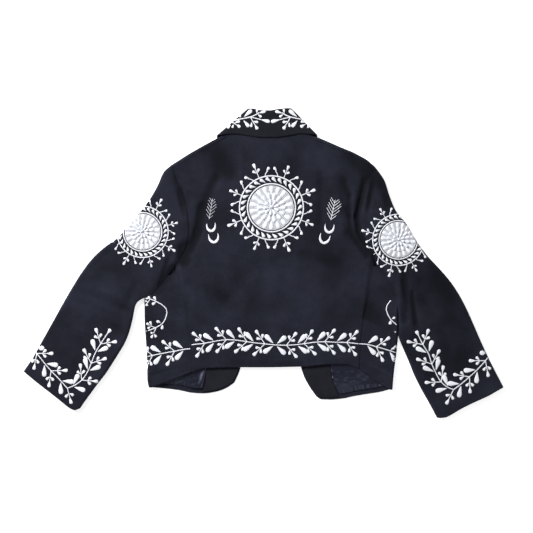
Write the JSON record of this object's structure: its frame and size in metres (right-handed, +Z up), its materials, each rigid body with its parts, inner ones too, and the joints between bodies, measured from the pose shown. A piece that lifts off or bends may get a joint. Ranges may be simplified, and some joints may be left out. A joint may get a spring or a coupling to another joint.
{
  "type": "charro jacket",
  "caption": "Child's short charro jacket in dark wool with a turned-down collar, laid flat face down with the back up and the sleeves spread.",
  "frame": {"origin": "on the floor, under the middle of the laid jacket's box", "axes": "+Z up from the floor, +Y towards the collar, +X to the right of the laid jacket seen from above"},
  "size_m": [0.6516, 0.4202, 0.0095],
  "materials": {
    "wool": "black-navy wool twill with a short nap",
    "facing_wool": "matt wool, the inside edge of the fronts",
    "lining_satin": "shiny dark satin lining",
    "thread": "raised white embroidery, on the dressed model"
  },
  "bodies": {
    "root": {"back": "wool", "front_left": "wool", "front_right": "wool", "sleeve_left": "wool", "sleeve_right": "wool", "collar_fall": "wool", "collar_stand": "wool", "facing_left": "facing_wool", "facing_right": "facing_wool", "lining_left": "lining_satin", "lining_right": "lining_satin"}
  },
  "joints": []
}
